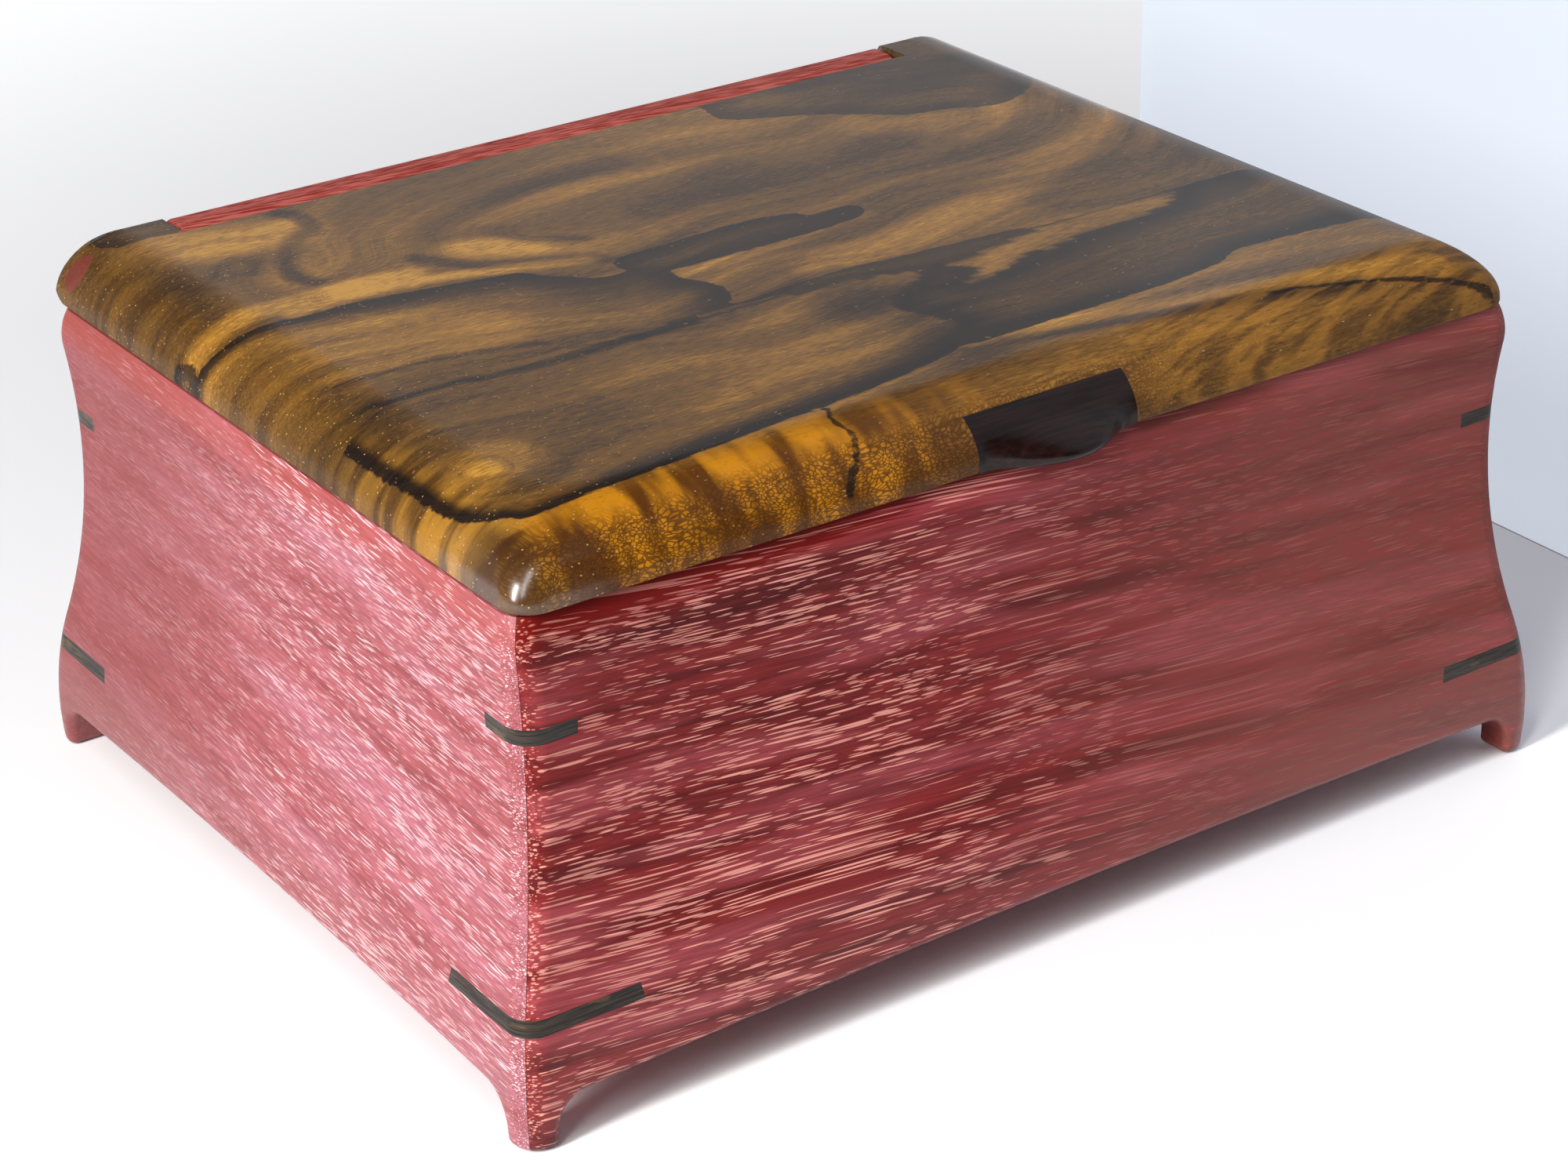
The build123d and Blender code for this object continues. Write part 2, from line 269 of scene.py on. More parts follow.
def use_group(bench, group, sockets):
    """Places a group in a material with the material's own values."""
    node = bench.lay("Group")
    node.node_tree = group
    for socket, value in sockets.items():
        bench.join(value, node.inputs[socket])
    return node.outputs


heartwood, grain_bench, given, result = new_group(
    "streaked heartwood",
    {
        "Grain": (0.0, 0.0, 0.0),
        "Fineness": (1 / 24, 1 / 0.85, 1 / 0.85),
        "Cover": 0.5,
        "Wander": 1.0,
        "Boldness": 0.8,
        "Deep": paint(92, 20, 22),
        "Body": paint(150, 62, 60),
        "Mauve": paint(160, 88, 96),
        "Streak": paint(226, 150, 128),
    },
    {"Colour": paint(150, 62, 60), "Streaks": 0.0, "Lines": 0.0},
)
# The grain wanders: slowly over a hand's width, and a little from streak to streak.
slow_bend = grain_bench.noise(grain_bench.stretch(given["Grain"], (1 / 75, 1 / 24, 1 / 24)), 1.0)[1]
quick_bend = grain_bench.noise(grain_bench.stretch(given["Grain"], (1 / 18, 1 / 5, 1 / 5)), 1.0)[1]
slow_bend = grain_bench.stretch(grain_bench.shift(slow_bend, (-0.5, -0.5, -0.5)), (10.0, 6.0, 6.0))
quick_bend = grain_bench.stretch(grain_bench.shift(quick_bend, (-0.5, -0.5, -0.5)), (3.0, 0.25, 0.25))
bend = grain_bench.shift(slow_bend, quick_bend)
bend = grain_bench.lay("VectorMath", {0: bend, "Scale": given["Wander"]}, operation="SCALE").outputs[0]
bent = grain_bench.shift(given["Grain"], bend)
# Pale streaks are long thin cells in the solid wood, which show as dots where the corner turns.
patchy = grain_bench.noise(grain_bench.stretch(bent, (1 / 70, 1 / 5, 1 / 5)), 2.0)[0]
patchy = grain_bench.math("MULTIPLY", grain_bench.ramp(patchy, 0.34, 0.62, 0.62, 1.0), given["Cover"])
reach = grain_bench.ramp(patchy, 0.0, 1.0, 0.02, 0.33)
reach_out = grain_bench.math("ADD", reach, 0.02)
reach_in = grain_bench.math("SUBTRACT", reach, 0.05)
streak_masks = []
for finer, start, strength in ((1.0, (0.0, 0.0, 0.0), 1.0), (1.45, (40.0, 7.0, 3.0), 0.8)):
    moved = grain_bench.shift(bent, start)
    cut = grain_bench.lay("VectorMath", {0: moved, 1: given["Fineness"]}, operation="MULTIPLY")
    cell = grain_bench.cells(grain_bench.stretch(cut.outputs[0], (finer, finer, finer)))
    mask = grain_bench.ramp(cell["Distance"], reach_out, reach_in)
    tone = grain_bench.lay("SeparateColor", {0: cell["Color"]}).outputs[0]
    strong = grain_bench.ramp(tone, 0.0, 0.7, 0.5 * strength, strength)
    streak_masks.append(grain_bench.math("MULTIPLY", mask, strong))
streaks = grain_bench.math("MAXIMUM", *streak_masks)
# Broad bands, mauve clouds and fine dark lines in the red ground.
bands = grain_bench.noise(grain_bench.stretch(bent, (1 / 130, 1 / 3.6, 1 / 3.6)), 3.0, 0.6)[0]
clouds = grain_bench.noise(grain_bench.stretch(bent, (1 / 75, 1 / 9, 1 / 9)), 2.0)[0]
lines = grain_bench.noise(grain_bench.stretch(bent, (1 / 34, 1 / 0.5, 1 / 0.5)), 2.0, 0.6)[0]
ground = grain_bench.mix(grain_bench.ramp(bands, 0.30, 0.62), given["Deep"], given["Body"])
ground = grain_bench.mix(grain_bench.ramp(clouds, 0.44, 0.66, 0.0, 0.75), ground, given["Mauve"])
fine = grain_bench.ramp(lines, 0.36, 0.66, 0.80, 1.18)
fine = grain_bench.lay("CombineColor", {0: fine, 1: fine, 2: fine}).outputs[0]
ground = grain_bench.mix(1.0, ground, fine, "MULTIPLY")
streak_share = grain_bench.math("MULTIPLY", streaks, given["Boldness"])
grain_bench.join(grain_bench.mix(streak_share, ground, given["Streak"]), result["Colour"])
grain_bench.join(streak_share, result["Streaks"])
grain_bench.join(lines, result["Lines"])


# The mitres lie where |x| and |y| differ by this many millimetres.
mitre_offset = (cad_high.x - cad_high.y) * 1000


def heartwood_side(name, grain_turn, streak_length, streak_width, wander, cover, boldness, tones, shades):
    """The finish of one side, with streaks of the given size in millimetres.

    cover and boldness give how dense and how pale the streaks are from place to place, and
    shades changes the colour in places.
    """
    material, bench, shader = new_finish(name, {"Specular IOR Level": 0.10, "Coat Roughness": 0.24})
    place = bench.millimetres()
    where = bench.lay("SeparateXYZ", {0: place}).outputs
    wood = use_group(bench, heartwood, {
        "Grain": bench.millimetres(turn=grain_turn),
        "Fineness": (1 / streak_length, 1 / streak_width, 1 / streak_width),
        "Wander": wander,
        "Cover": cover(bench, where),
        "Boldness": boldness(bench, where),
        **tones,
    })
    colour = shades(bench, wood["Colour"], wood, where)
    # The glue line of the mitres, a hair wide.
    along, across = bench.math("ABSOLUTE", where[0]), bench.math("ABSOLUTE", where[1])
    from_mitre = bench.math("SUBTRACT", bench.math("SUBTRACT", along, across), mitre_offset)
    from_mitre = bench.math("ABSOLUTE", from_mitre)
    colour = bench.mix(bench.ramp(from_mitre, 0.16, 0.05, 0.0, 0.75), colour, paint(52, 14, 14))
    bench.join(colour, shader.inputs["Base Color"])
    bench.join(bench.ramp(wood["Lines"], 0.3, 0.7, 0.62, 0.50), shader.inputs["Roughness"])
    # The belly has been handled and buffed more than the hollow above it.
    bench.join(bench.ramp(where[2], 36.0, 12.0, 0.10, 0.55), shader.inputs["Coat Weight"])
    height = bench.math("ADD", wood["Lines"], bench.math("MULTIPLY", wood["Streaks"], 0.6))
    bump = bench.lay("Bump", {"Height": height, "Strength": 0.10, "Distance": 0.0001})
    bench.join(bump.outputs[0], shader.inputs["Normal"])
    return material


def dress(names, material):
    """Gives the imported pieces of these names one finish."""
    for name in names:
        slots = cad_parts[name].data.materials
        slots.clear()
        slots.append(material)


def long_cover(bench, where):
    """The streaks stand a little further apart to the right."""
    return bench.ramp(where[0], -60.0, 75.0, 0.98, 0.78)


def long_boldness(bench, where):
    """They are pale at the left and nearly lost in the red at the right."""
    return bench.ramp(where[0], -75.0, 55.0, 0.94, 0.16)


rail_foot = 100.2  # just over the rim


def under_the_rim(bench, colour, wood, where):
    """Deep red shows along the rim, from the left corner to the pull, and a paler red on the rail.

    The wood turns browner to the right.
    """
    ragged = bench.math("MULTIPLY", bench.math("SUBTRACT", wood["Lines"], 0.5), 14.0)
    band_foot = bench.math("ADD", bench.ramp(where[0], -95.0, 0.0, 94.2, 99.0), ragged)
    above_foot = bench.math("SUBTRACT", where[2], band_foot)
    band = bench.math("MULTIPLY", bench.ramp(above_foot, -0.8, 1.8), bench.ramp(where[0], 6.0, -25.0))
    band = bench.math("MULTIPLY", band, bench.ramp(wood["Streaks"], 0.1, 0.6, 0.95, 0.50))
    colour = bench.mix(band, colour, paint(104, 10, 4))
    to_right = bench.ramp(where[0], -35.0, 75.0, 0.0, 0.70)
    browner = bench.math("MULTIPLY", to_right, bench.ramp(wood["Lines"], 0.3, 0.7, 1.0, 0.5))
    colour = bench.mix(browner, colour, paint(132, 76, 65))
    rail_red = bench.mix(bench.ramp(wood["Lines"], 0.38, 0.62), paint(136, 46, 40), paint(192, 104, 94))
    return bench.mix(bench.ramp(where[2], rail_foot, rail_foot + 0.7, 0.0, 0.8), colour, rail_red)


long_tones = {
    "Deep": paint(84, 10, 12),
    "Body": paint(130, 36, 36),
    "Mauve": paint(160, 70, 76),
    "Streak": paint(248, 168, 152),
}
long_turn = (0, radians(-4.4), radians(3.0))
long_wood = heartwood_side(
    "long side wood", long_turn, streak_length=120, streak_width=0.62, wander=0.6,
    cover=long_cover, boldness=long_boldness, tones=long_tones, shades=under_the_rim,
)
dress(["front_panel", "back_panel"], long_wood)

# The ends are paler and pinker than the long sides: partly the wood's own cut, partly painted sheen, the
# pale veil the polish shows on the lit ends.
end_tones_and_sheen = {
    "Deep": paint(138, 66, 70),
    "Body": paint(156, 86, 92),
    "Mauve": paint(164, 100, 112),
    "Streak": paint(238, 206, 210),
}
end_turn = (radians(-2.5), 0, radians(-90 + 3.5))


def end_shades(bench, colour, wood, where):
    """The wood darkens a little towards the back, and reddens along the rim."""
    colour = bench.mix(bench.ramp(where[1], -25.0, 75.0, 0.0, 0.70), colour, paint(124, 62, 60))
    between_streaks = bench.ramp(wood["Streaks"], 0.6, 0.1, 0.0, 0.32)
    rim = bench.math("MULTIPLY", bench.ramp(where[2], 91.0, 98.0), between_streaks)
    return bench.mix(rim, colour, paint(160, 72, 56))


def end_cover(bench, where):
    """The streaks stand further apart towards the back, and fade a little."""
    return bench.ramp(where[1], 90.0, -60.0, 0.66, 0.92)


def end_boldness(bench, where):
    return bench.ramp(where[1], 95.0, -70.0, 0.50, 0.78)


end_wood = heartwood_side(
    "end side wood", end_turn, streak_length=90, streak_width=0.42, wander=0.12,
    cover=end_cover, boldness=end_boldness, tones=end_tones_and_sheen, shades=end_shades,
)
dress(["left_panel", "right_panel"], end_wood)


# ---- Corner keys ----
# Slips of near-black wood glued into saw cuts across the mitres, then coved with the case.
dark_grain, grain_bench, given, result = new_group(
    "close dark grain",
    {
        "Lines At": (0.0, 0.0, 0.0),
        "Clouds At": (0.0, 0.0, 0.0),
        "Lines Full": 0.68,
        "Clouds Start": 0.58,
        "Clouds Full": 0.72,
        "Clouds Share": 0.6,
        "Ground": paint(24, 19, 17),
        "Line": paint(62, 54, 45),
        "Cloud": paint(98, 74, 44),
    },
    {"Colour": paint(24, 19, 17), "Lines": 0.0},
)
close_lines = grain_bench.noise(given["Lines At"], 3.0, 0.6)[0]
pale_clouds = grain_bench.noise(given["Clouds At"], 2.0)[0]
line_mask = grain_bench.ramp(close_lines, 0.35, given["Lines Full"])
cloud_range = (given["Clouds Start"], given["Clouds Full"], 0.0, given["Clouds Share"])
lined = grain_bench.mix(line_mask, given["Ground"], given["Line"])
clouded = grain_bench.mix(grain_bench.ramp(pale_clouds, *cloud_range), lined, given["Cloud"])
grain_bench.join(clouded, result["Colour"])
grain_bench.join(close_lines, result["Lines"])


def dark_wood(name, polish, line_size, cloud_size, tones, rough_range, relief):
    """A close dark wood with fine lines and paler clouds, whose sizes are in millimetres."""
    material, bench, shader = new_finish(name, polish)
    wood = use_group(bench, dark_grain, {
        "Lines At": bench.millimetres([1 / size for size in line_size]),
        "Clouds At": bench.millimetres([1 / size for size in cloud_size]),
        **tones,
    })
    bench.join(wood["Colour"], shader.inputs["Base Color"])
    bench.join(bench.ramp(wood["Lines"], 0.3, 0.7, *rough_range), shader.inputs["Roughness"])
    bump = bench.lay("Bump", {"Height": wood["Lines"], "Strength": relief, "Distance": 0.0001})
    bench.join(bump.outputs[0], shader.inputs["Normal"])
    return material


key_polish = {"Specular IOR Level": 0.2, "Coat Weight": 0.2, "Coat Roughness": 0.25}
key_tones = {
    "Lines Full": 0.68,
    "Clouds Start": 0.58,
    "Clouds Full": 0.72,
    "Clouds Share": 0.6,
    "Ground": paint(24, 19, 17),
    "Line": paint(62, 54, 45),
    "Cloud": paint(98, 74, 44),
}
key_wood = dark_wood(
    "key wood", key_polish, line_size=(9, 9, 0.35), cloud_size=(6, 6, 1.5),
    tones=key_tones, rough_range=(0.5, 0.36), relief=0.2,
)
dress([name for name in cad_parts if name.startswith("key_")], key_wood)


# ---- Bottom panel ----
# A thin board of plain brown wood, let into grooves round the inside of the case.
bottom_wood, bench, shader = new_finish("bottom wood", {"Roughness": 0.5})
bottom_wave = bench.noise(bench.millimetres((1 / 120, 1 / 20, 1 / 20)), 2.0)[0]
bottom_lines = bench.noise(bench.millimetres((1 / 40, 1 / 1.2, 1 / 1.2)), 3.0, 0.6)[0]
bottom_colour = bench.mix(bench.ramp(bottom_wave, 0.35, 0.65), paint(112, 76, 50), paint(138, 98, 66))
bottom_colour = bench.mix(bench.ramp(bottom_lines, 0.52, 0.72, 0.0, 0.5), bottom_colour, paint(78, 48, 30))
bench.join(bottom_colour, shader.inputs["Base Color"])
bottom_bump = bench.lay("Bump", {"Height": bottom_lines, "Strength": 0.25, "Distance": 0.0002})
bench.join(bottom_bump.outputs[0], shader.inputs["Normal"])
dress(["bottom_panel"], bottom_wood)


# ---- Lining pad ----
# A card wrapped in dark red-brown suede over a thin layer of wadding, which lies loose on the bottom.
# It is crowned a little, and its edges roll down to the board.
suede_nap = {"Roughness": 0.85, "Specular IOR Level": 0.2, "Sheen Weight": 0.6, "Sheen Roughness": 0.45}
suede, bench, shader = new_finish("suede", suede_nap)
nap = bench.noise(bench.millimetres((1 / 0.5, 1 / 0.5, 1 / 0.5)), 3.0, 0.7)[0]
brushed = bench.noise(bench.millimetres((1 / 30, 1 / 18, 1 / 10)), 3.0, 0.55)[0]
suede_colour = bench.mix(bench.ramp(brushed, 0.35, 0.65), paint(74, 26, 26), paint(102, 40, 38))
suede_colour = bench.mix(bench.ramp(nap, 0.3, 0.75, 0.0, 0.4), suede_colour, paint(132, 66, 60))
bench.join(suede_colour, shader.inputs["Base Color"])
nap_bump = bench.lay("Bump", {"Height": nap, "Strength": 0.5, "Distance": 0.0003})
bench.join(nap_bump.outputs[0], shader.inputs["Normal"])

pad_low, pad_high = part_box("base_lining")
pad_edge = 0.0011  # radius of the rolled edge
pad_dip = 0.0003  # how far the wadding sinks between the crowns
pad_columns, pad_rows = 120, 90


def pad_point(column, row, upper):
    """A point of the pad. The outermost rows and columns follow the rolled edge."""
    ways = ((column / pad_columns, pad_low.x, pad_high.x), (row / pad_rows, pad_low.y, pad_high.y))
    spot = []
    drop = 0.0
    for share, low, high in ways:
        from_edge = min(share, 1 - share) * (high - low)
        spot.append(low + share * (high - low))
        drop += max(0.0, 1 - from_edge / pad_edge / 3) ** 2
    rise = (1 - min(1.0, drop)) ** 0.5
    waves = np.sin(spot[0] * 61) * np.cos(spot[1] * 47) + np.sin(spot[0] * 23 + spot[1] * 31)
    sunk = pad_dip * (0.5 + 0.25 * waves)
    middle = (pad_low.z + pad_high.z) / 2
    if upper:
        return (*spot, middle + (pad_high.z - middle) * rise - sunk * rise)
    return (*spot, middle + (pad_low.z - middle) * rise)


pad_corners = [
    pad_point(column, row, upper)
    for upper in (True, False)
    for row in range(pad_rows + 1)
    for column in range(pad_columns + 1)
]
pad_layer = (pad_columns + 1) * (pad_rows + 1)
pad_faces = []
for row in range(pad_rows):
    for column in range(pad_columns):
        first = row * (pad_columns + 1) + column
        ring = (first, first + 1, first + pad_columns + 2, first + pad_columns + 1)
        pad_faces.append(ring)
        pad_faces.append(tuple(index + pad_layer for index in reversed(ring)))
lining_pad = new_piece("lining_pad", pad_corners, pad_faces, suede)
pad_shape = bmesh.new()
pad_shape.from_mesh(lining_pad.data)
bmesh.ops.remove_doubles(pad_shape, verts=pad_shape.verts, dist=1e-7)
pad_shape.to_mesh(lining_pad.data)
pad_shape.free()
lining_pad.data.shade_smooth()
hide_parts("base_lining")
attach(lining_pad, "case")


# ---- Lid ----
# One solid board of figured brown and gold wood, its front and ends rounded over like a pillow.
# The figure is laid out in millimetres on the board's face, x to the right and y to the back.
_, lid_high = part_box("lid_panel")
lid_cell = 1.5  # the board's mesh is cut this fine
round_width, round_height = 16.8, 11.7
corner_radius, corner_growth = 6.0, 0.5
top_z = lid_high.z * 1000
half_length, half_depth = lid_high.x * 1000, lid_high.y * 1000

lid_mesh = bpy.data.meshes.new("lid_board")
lid_shape = bmesh.new()
lid_shape.from_mesh(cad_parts["lid_panel"].data)
bmesh.ops.remove_doubles(lid_shape, verts=lid_shape.verts, dist=1e-6)
for axis, end in ((0, lid_high.x), (1, lid_high.y)):
    normal = Vector((axis == 0, axis == 1, 0))
    cuts = int(end * 2000 / lid_cell)
    for cut in range(1, cuts):
        knife = normal * (-end + 2 * end * cut / cuts)
        parts = lid_shape.verts[:] + lid_shape.edges[:] + lid_shape.faces[:]
        bmesh.ops.bisect_plane(lid_shape, geom=parts, dist=1e-6, plane_co=knife, plane_no=normal)
bmesh.ops.triangulate(lid_shape, faces=lid_shape.faces)
lid_shape.to_mesh(lid_mesh)
lid_shape.free()
lid_board = bpy.data.objects.new("lid_board", lid_mesh)
bpy.context.scene.collection.objects.link(lid_board)


def inset(x, y):
    """How far in from the outline each point of the rounded top lies."""
    from_end, from_front = half_length - abs(x), y + half_depth
    straight = np.minimum(from_end, from_front)
    # In a corner, the ring at inset e is an arc of radius corner_radius + corner_growth * e.
    square = 2 * (1 + corner_growth) ** 2 - corner_growth ** 2
    short_of = 2 * corner_radius - from_end - from_front
    linear = 2 * (1 + corner_growth) * short_of - 2 * corner_growth * corner_radius
    plain = (corner_radius - from_end) ** 2 + (corner_radius - from_front) ** 2 - corner_radius ** 2
    arc = (-linear + np.sqrt(np.maximum(linear ** 2 - 4 * square * plain, 0))) / (2 * square)
    centre = (1 + corner_growth) * arc + corner_radius
    return np.where((from_end < centre) & (from_front < centre), arc, straight)


def top_height(x, y):
    """The height of the top over each point, from the quarter ellipse of its round-over."""
    share = np.clip(1 - inset(x, y) / round_width, 0, 1)
    return top_z - round_height + round_height * np.sqrt(1 - share ** 2)


points = np.empty(len(lid_mesh.vertices) * 3)
lid_mesh.vertices.foreach_get("co", points)
points = points.reshape(-1, 3) * 1000
board_x, board_y = points[:, 0], points[:, 1]
closeness = 0.12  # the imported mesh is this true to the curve
back_round = 2.05  # the back edge keeps its own small round-over
rounded = abs(points[:, 2] - top_height(board_x, board_y)) < closeness
rounded &= board_y < half_depth - back_round
# The rounded top gets its true height and slope, so that light runs over it without facets.
well_in = rounded & (inset(board_x, board_y) > 0.6)
points[well_in, 2] = top_height(board_x[well_in], board_y[well_in])
lid_mesh.vertices.foreach_set("co", (points / 1000).ravel())
lid_mesh.update()
over_edge = np.clip(1 - inset(board_x, board_y) / round_width, 0, 0.9995)
steepness = round_height / round_width * over_edge / np.sqrt(1 - over_edge ** 2)
nudge = 0.02
rise_x = (inset(board_x + nudge, board_y) - inset(board_x - nudge, board_y)) / (2 * nudge)
rise_y = (inset(board_x, board_y + nudge) - inset(board_x, board_y - nudge)) / (2 * nudge)
slopes = np.stack([-steepness * rise_x, -steepness * rise_y, np.ones(len(points))], axis=1)
slopes /= np.linalg.norm(slopes, axis=1, keepdims=True)
lid_mesh.shade_smooth()
lid_mesh.set_sharp_from_angle(angle=radians(32))
corner_count = len(lid_mesh.loops)
loop_points = np.empty(corner_count, dtype=np.int32)
lid_mesh.loops.foreach_get("vertex_index", loop_points)
all_rounded = rounded[loop_points].reshape(-1, 3).all(axis=1).repeat(3)
loop_normals = np.where(all_rounded[:, None], slopes[loop_points], 0.0)
lid_mesh.normals_split_custom_set(loop_normals.tolist())


def smooth_line(marks, closed=False):
    """A smooth line through marks made on the board."""
    marks = np.array(marks, dtype=float)
    if closed:
        around = np.vstack([marks[-1], marks, marks[0], marks[1]])
    else:
        around = np.vstack([2 * marks[0] - marks[1], marks, 2 * marks[-1] - marks[-2]])
    a, b, c, d = around[:-3], around[1:-2], around[2:-1], around[3:]
    pieces = []
    steps = 6  # from one mark to the next
    for t in np.linspace(0, 1, steps, endpoint=False):
        squared = (2 * a - 5 * b + 4 * c - d) * t ** 2
        cubed = (3 * b - a - 3 * c + d) * t ** 3
        pieces.append(0.5 * (2 * b + (c - a) * t + squared + cubed))
    line = np.stack(pieces, axis=1).reshape(-1, 2)
    return np.vstack([line, line[:1] if closed else marks[-1:]])


def gap_to(line):
    """Each point's distance to a line."""
    nearest = np.full(len(points), 1e9)
    for (ax, ay), (bx, by) in zip(line[:-1], line[1:]):
        run_x, run_y = bx - ax, by - ay
        along = ((board_x - ax) * run_x + (board_y - ay) * run_y) / max(run_x ** 2 + run_y ** 2, 1e-9)
        along = np.clip(along, 0, 1)
        off_x, off_y = board_x - ax - along * run_x, board_y - ay - along * run_y
        nearest = np.minimum(nearest, off_x ** 2 + off_y ** 2)
    return np.sqrt(nearest)


def depth_in(loop):
    """Each point's depth inside a closed line, negative outside."""
    crossings = np.zeros(len(points), dtype=int)
    for (ax, ay), (bx, by) in zip(loop[:-1], loop[1:]):
        if ay != by:
            spans = (ay > board_y) != (by > board_y)
            crossings += spans & (board_x < (bx - ax) * (board_y - ay) / (by - ay) + ax)
    return np.where(crossings % 2 == 1, 1, -1) * gap_to(loop)


def soft(gap, full, none):
    """1 where the gap is under full, falling smoothly to 0 at none."""
    share = np.clip((none - gap) / (none - full), 0, 1)
    return share * share * (3 - 2 * share)


# The dark figure is a set of areas with a crisp edge. Each has its edge line, the loop that closes it,
# how dark it is at the edge and deep inside, and how wide the change between them is.
island_edge = smooth_line([
    (-112.6, -26.2), (-112.2, -48.5), (-111.4, -65.4), (-106.8, -73.8), (-102.2, -76.6),
    (-88.3, -75.8), (-69.8, -74.3), (-51.4, -72.3), (-39.1, -71.1), (-23.7, -69.2), (-8.3, -66.2),
    (-1.4, -63.5), (7.1, -63.1), (22.5, -63.4), (37.8, -63.8), (47.0, -63.8), (56.3, -62.3),
    (63.0, -61.5), (71.0, -57.9), (84.0, -58.5), (99.4, -58.5), (116.0, -59.0),
])
island_fade = np.interp(board_x, [-112, -104, -60, 0, 60], [3.0, 4.5, 9.0, 14.0, 12.0])
band_edge = smooth_line([
    (-116, 28.2), (-110.8, 25.7), (-98.3, 24.2), (-90.1, 23.6), (-84.2, 24), (-71.6, 22.3),
    (-59.8, 19.7), (-49.4, 17.9), (-45.7, 13.1), (-37.6, 5.7), (-31, 5), (-25.5, 1), (-25.4, -4),
    (-22.5, -9.1), (-21.7, -14.3), (-24.3, -20.2),
])
band_fade = np.interp(board_x, [-116, -98, -84, -64, -45, -30], [4.0, 6.0, 9.0, 17.0, 22.0, 16.0])
corner_edge = smooth_line([
    (34, 92), (34, 77.7), (33.2, 68.5), (39.4, 63.8), (50, 58.5), (57.8, 53), (67, 45.4),
    (74.8, 43.8), (82.5, 40), (90, 39), (99.4, 43.8), (107, 51.5), (118, 56),
])
dark_areas = [
    (island_edge, [(116.0, -25.0), (-75.0, -24.5), (-112.6, -26.2)], 1.0, 0.0, island_fade),
    (band_edge, [(-50, -24), (-116, -4), (-116, 28.2)], 0.95, 0.0, band_fade),
    (corner_edge, [(118, 92), (34, 92)], 0.85, 0.35, 14.0),
]
# The patches stay dark all through. Each has how dark it is at the edge and deep inside, how wide the
# change between them is, and its outline.
dark_patches = [
    (0.95, 0.58, 9.0, [
        (18, -30), (8, -35), (0, -40), (2, -47), (4, -56), (-4, -64), (22, -64.5), (56, -63),
        (71, -58.5), (118, -59.5), (118, -28), (100, -26.5), (85, -26.5), (78, -31), (70, -33.8),
        (52, -34.6), (40, -37.4), (37, -35.8), (29, -39.8), (20, -41.8), (14.6, -40), (22, -35),
        (18, -32),
    ]),
    (0.85, 0.7, 3.0, [
        (-25, -21.7), (0, -19.6), (16, -21), (35.5, -22.4), (47, -24.2), (33.3, -26.9),
        (17.8, -29.4), (10, -26.8), (0, -24.5), (-14, -23.2),
    ]),
    (0.95, 0.80, 6.0, [
        (-30.9, 11.5), (-19.8, 12.8), (0, 13.8), (12.5, 11.5), (13.7, 8.6), (24.5, 7.8), (22.9, 2),
        (11.1, 0.5), (0, 0.2), (-24.6, 0.5), (-31, 4),
    ]),
    (0.8, 0.6, 5.0, [(-107, 89), (-104, 80), (-98, 79.5), (-91, 79.5), (-91, 89)]),
]
# Thin black lines, each with half its width.
dark_lines = [
    (0.6, [(-48.5, -24), (-42, -24), (-34, -22.6), (-25, -21.9)]),
    (0.55, [(-39.5, -71.5), (-41.4, -77), (-40.6, -80.8), (-42.2, -84.6), (-46.8, -88.8)]),
    (0.45, [(60.0, -78.0), (81.4, -82.3), (96.1, -85.7), (109.5, -89)]),
    (0.7, [(-115.5, 36), (-114.5, 32), (-114.8, 28)]),
]
# ink is the depth inside the dark figure, and shade is how dark it is there.
far_out = -50.0
ink = np.full(len(points), far_out)
shade = np.ones(len(points))
for edge_line, closing, at_edge, inside, fade in dark_areas:
    side = np.sign(depth_in(np.vstack([edge_line, closing])))
    depth = side * gap_to(edge_line)
    depth = np.where(depth < -6, far_out, depth)
    here = inside + (at_edge - inside) * soft(depth, 1.4, fade)
    # Where areas meet, the deeper one gives the shade.
    shade = np.where(depth > ink, here, shade)
    ink = np.maximum(ink, depth)
laid_over = []
for at_edge, inside, fade, marks in dark_patches:
    depth = depth_in(smooth_line(marks, closed=True))
    laid_over.append((depth, inside + (at_edge - inside) * soft(depth, 0.5, fade)))
line_shade = 0.9
for half_width, marks in dark_lines:
    laid_over.append((half_width - gap_to(smooth_line(marks)), line_shade))
torn_reach = -1.5  # the torn edge never shows further out
for depth, here in laid_over:
    # Where patches and lines lie over something dark, the darker shade stays.
    before = np.where(ink > torn_reach, shade, 0)
    shade = np.where(depth > torn_reach, np.maximum(here, before), shade)
    ink = np.maximum(ink, depth)


def laid_along(parts):
    """How strongly each point is covered by soft-edged lines."""
    cover = np.zeros(len(points))
    for full, none, strength, marks in parts:
        cover = np.maximum(cover, strength * soft(gap_to(smooth_line(marks)), full, none))
    return cover


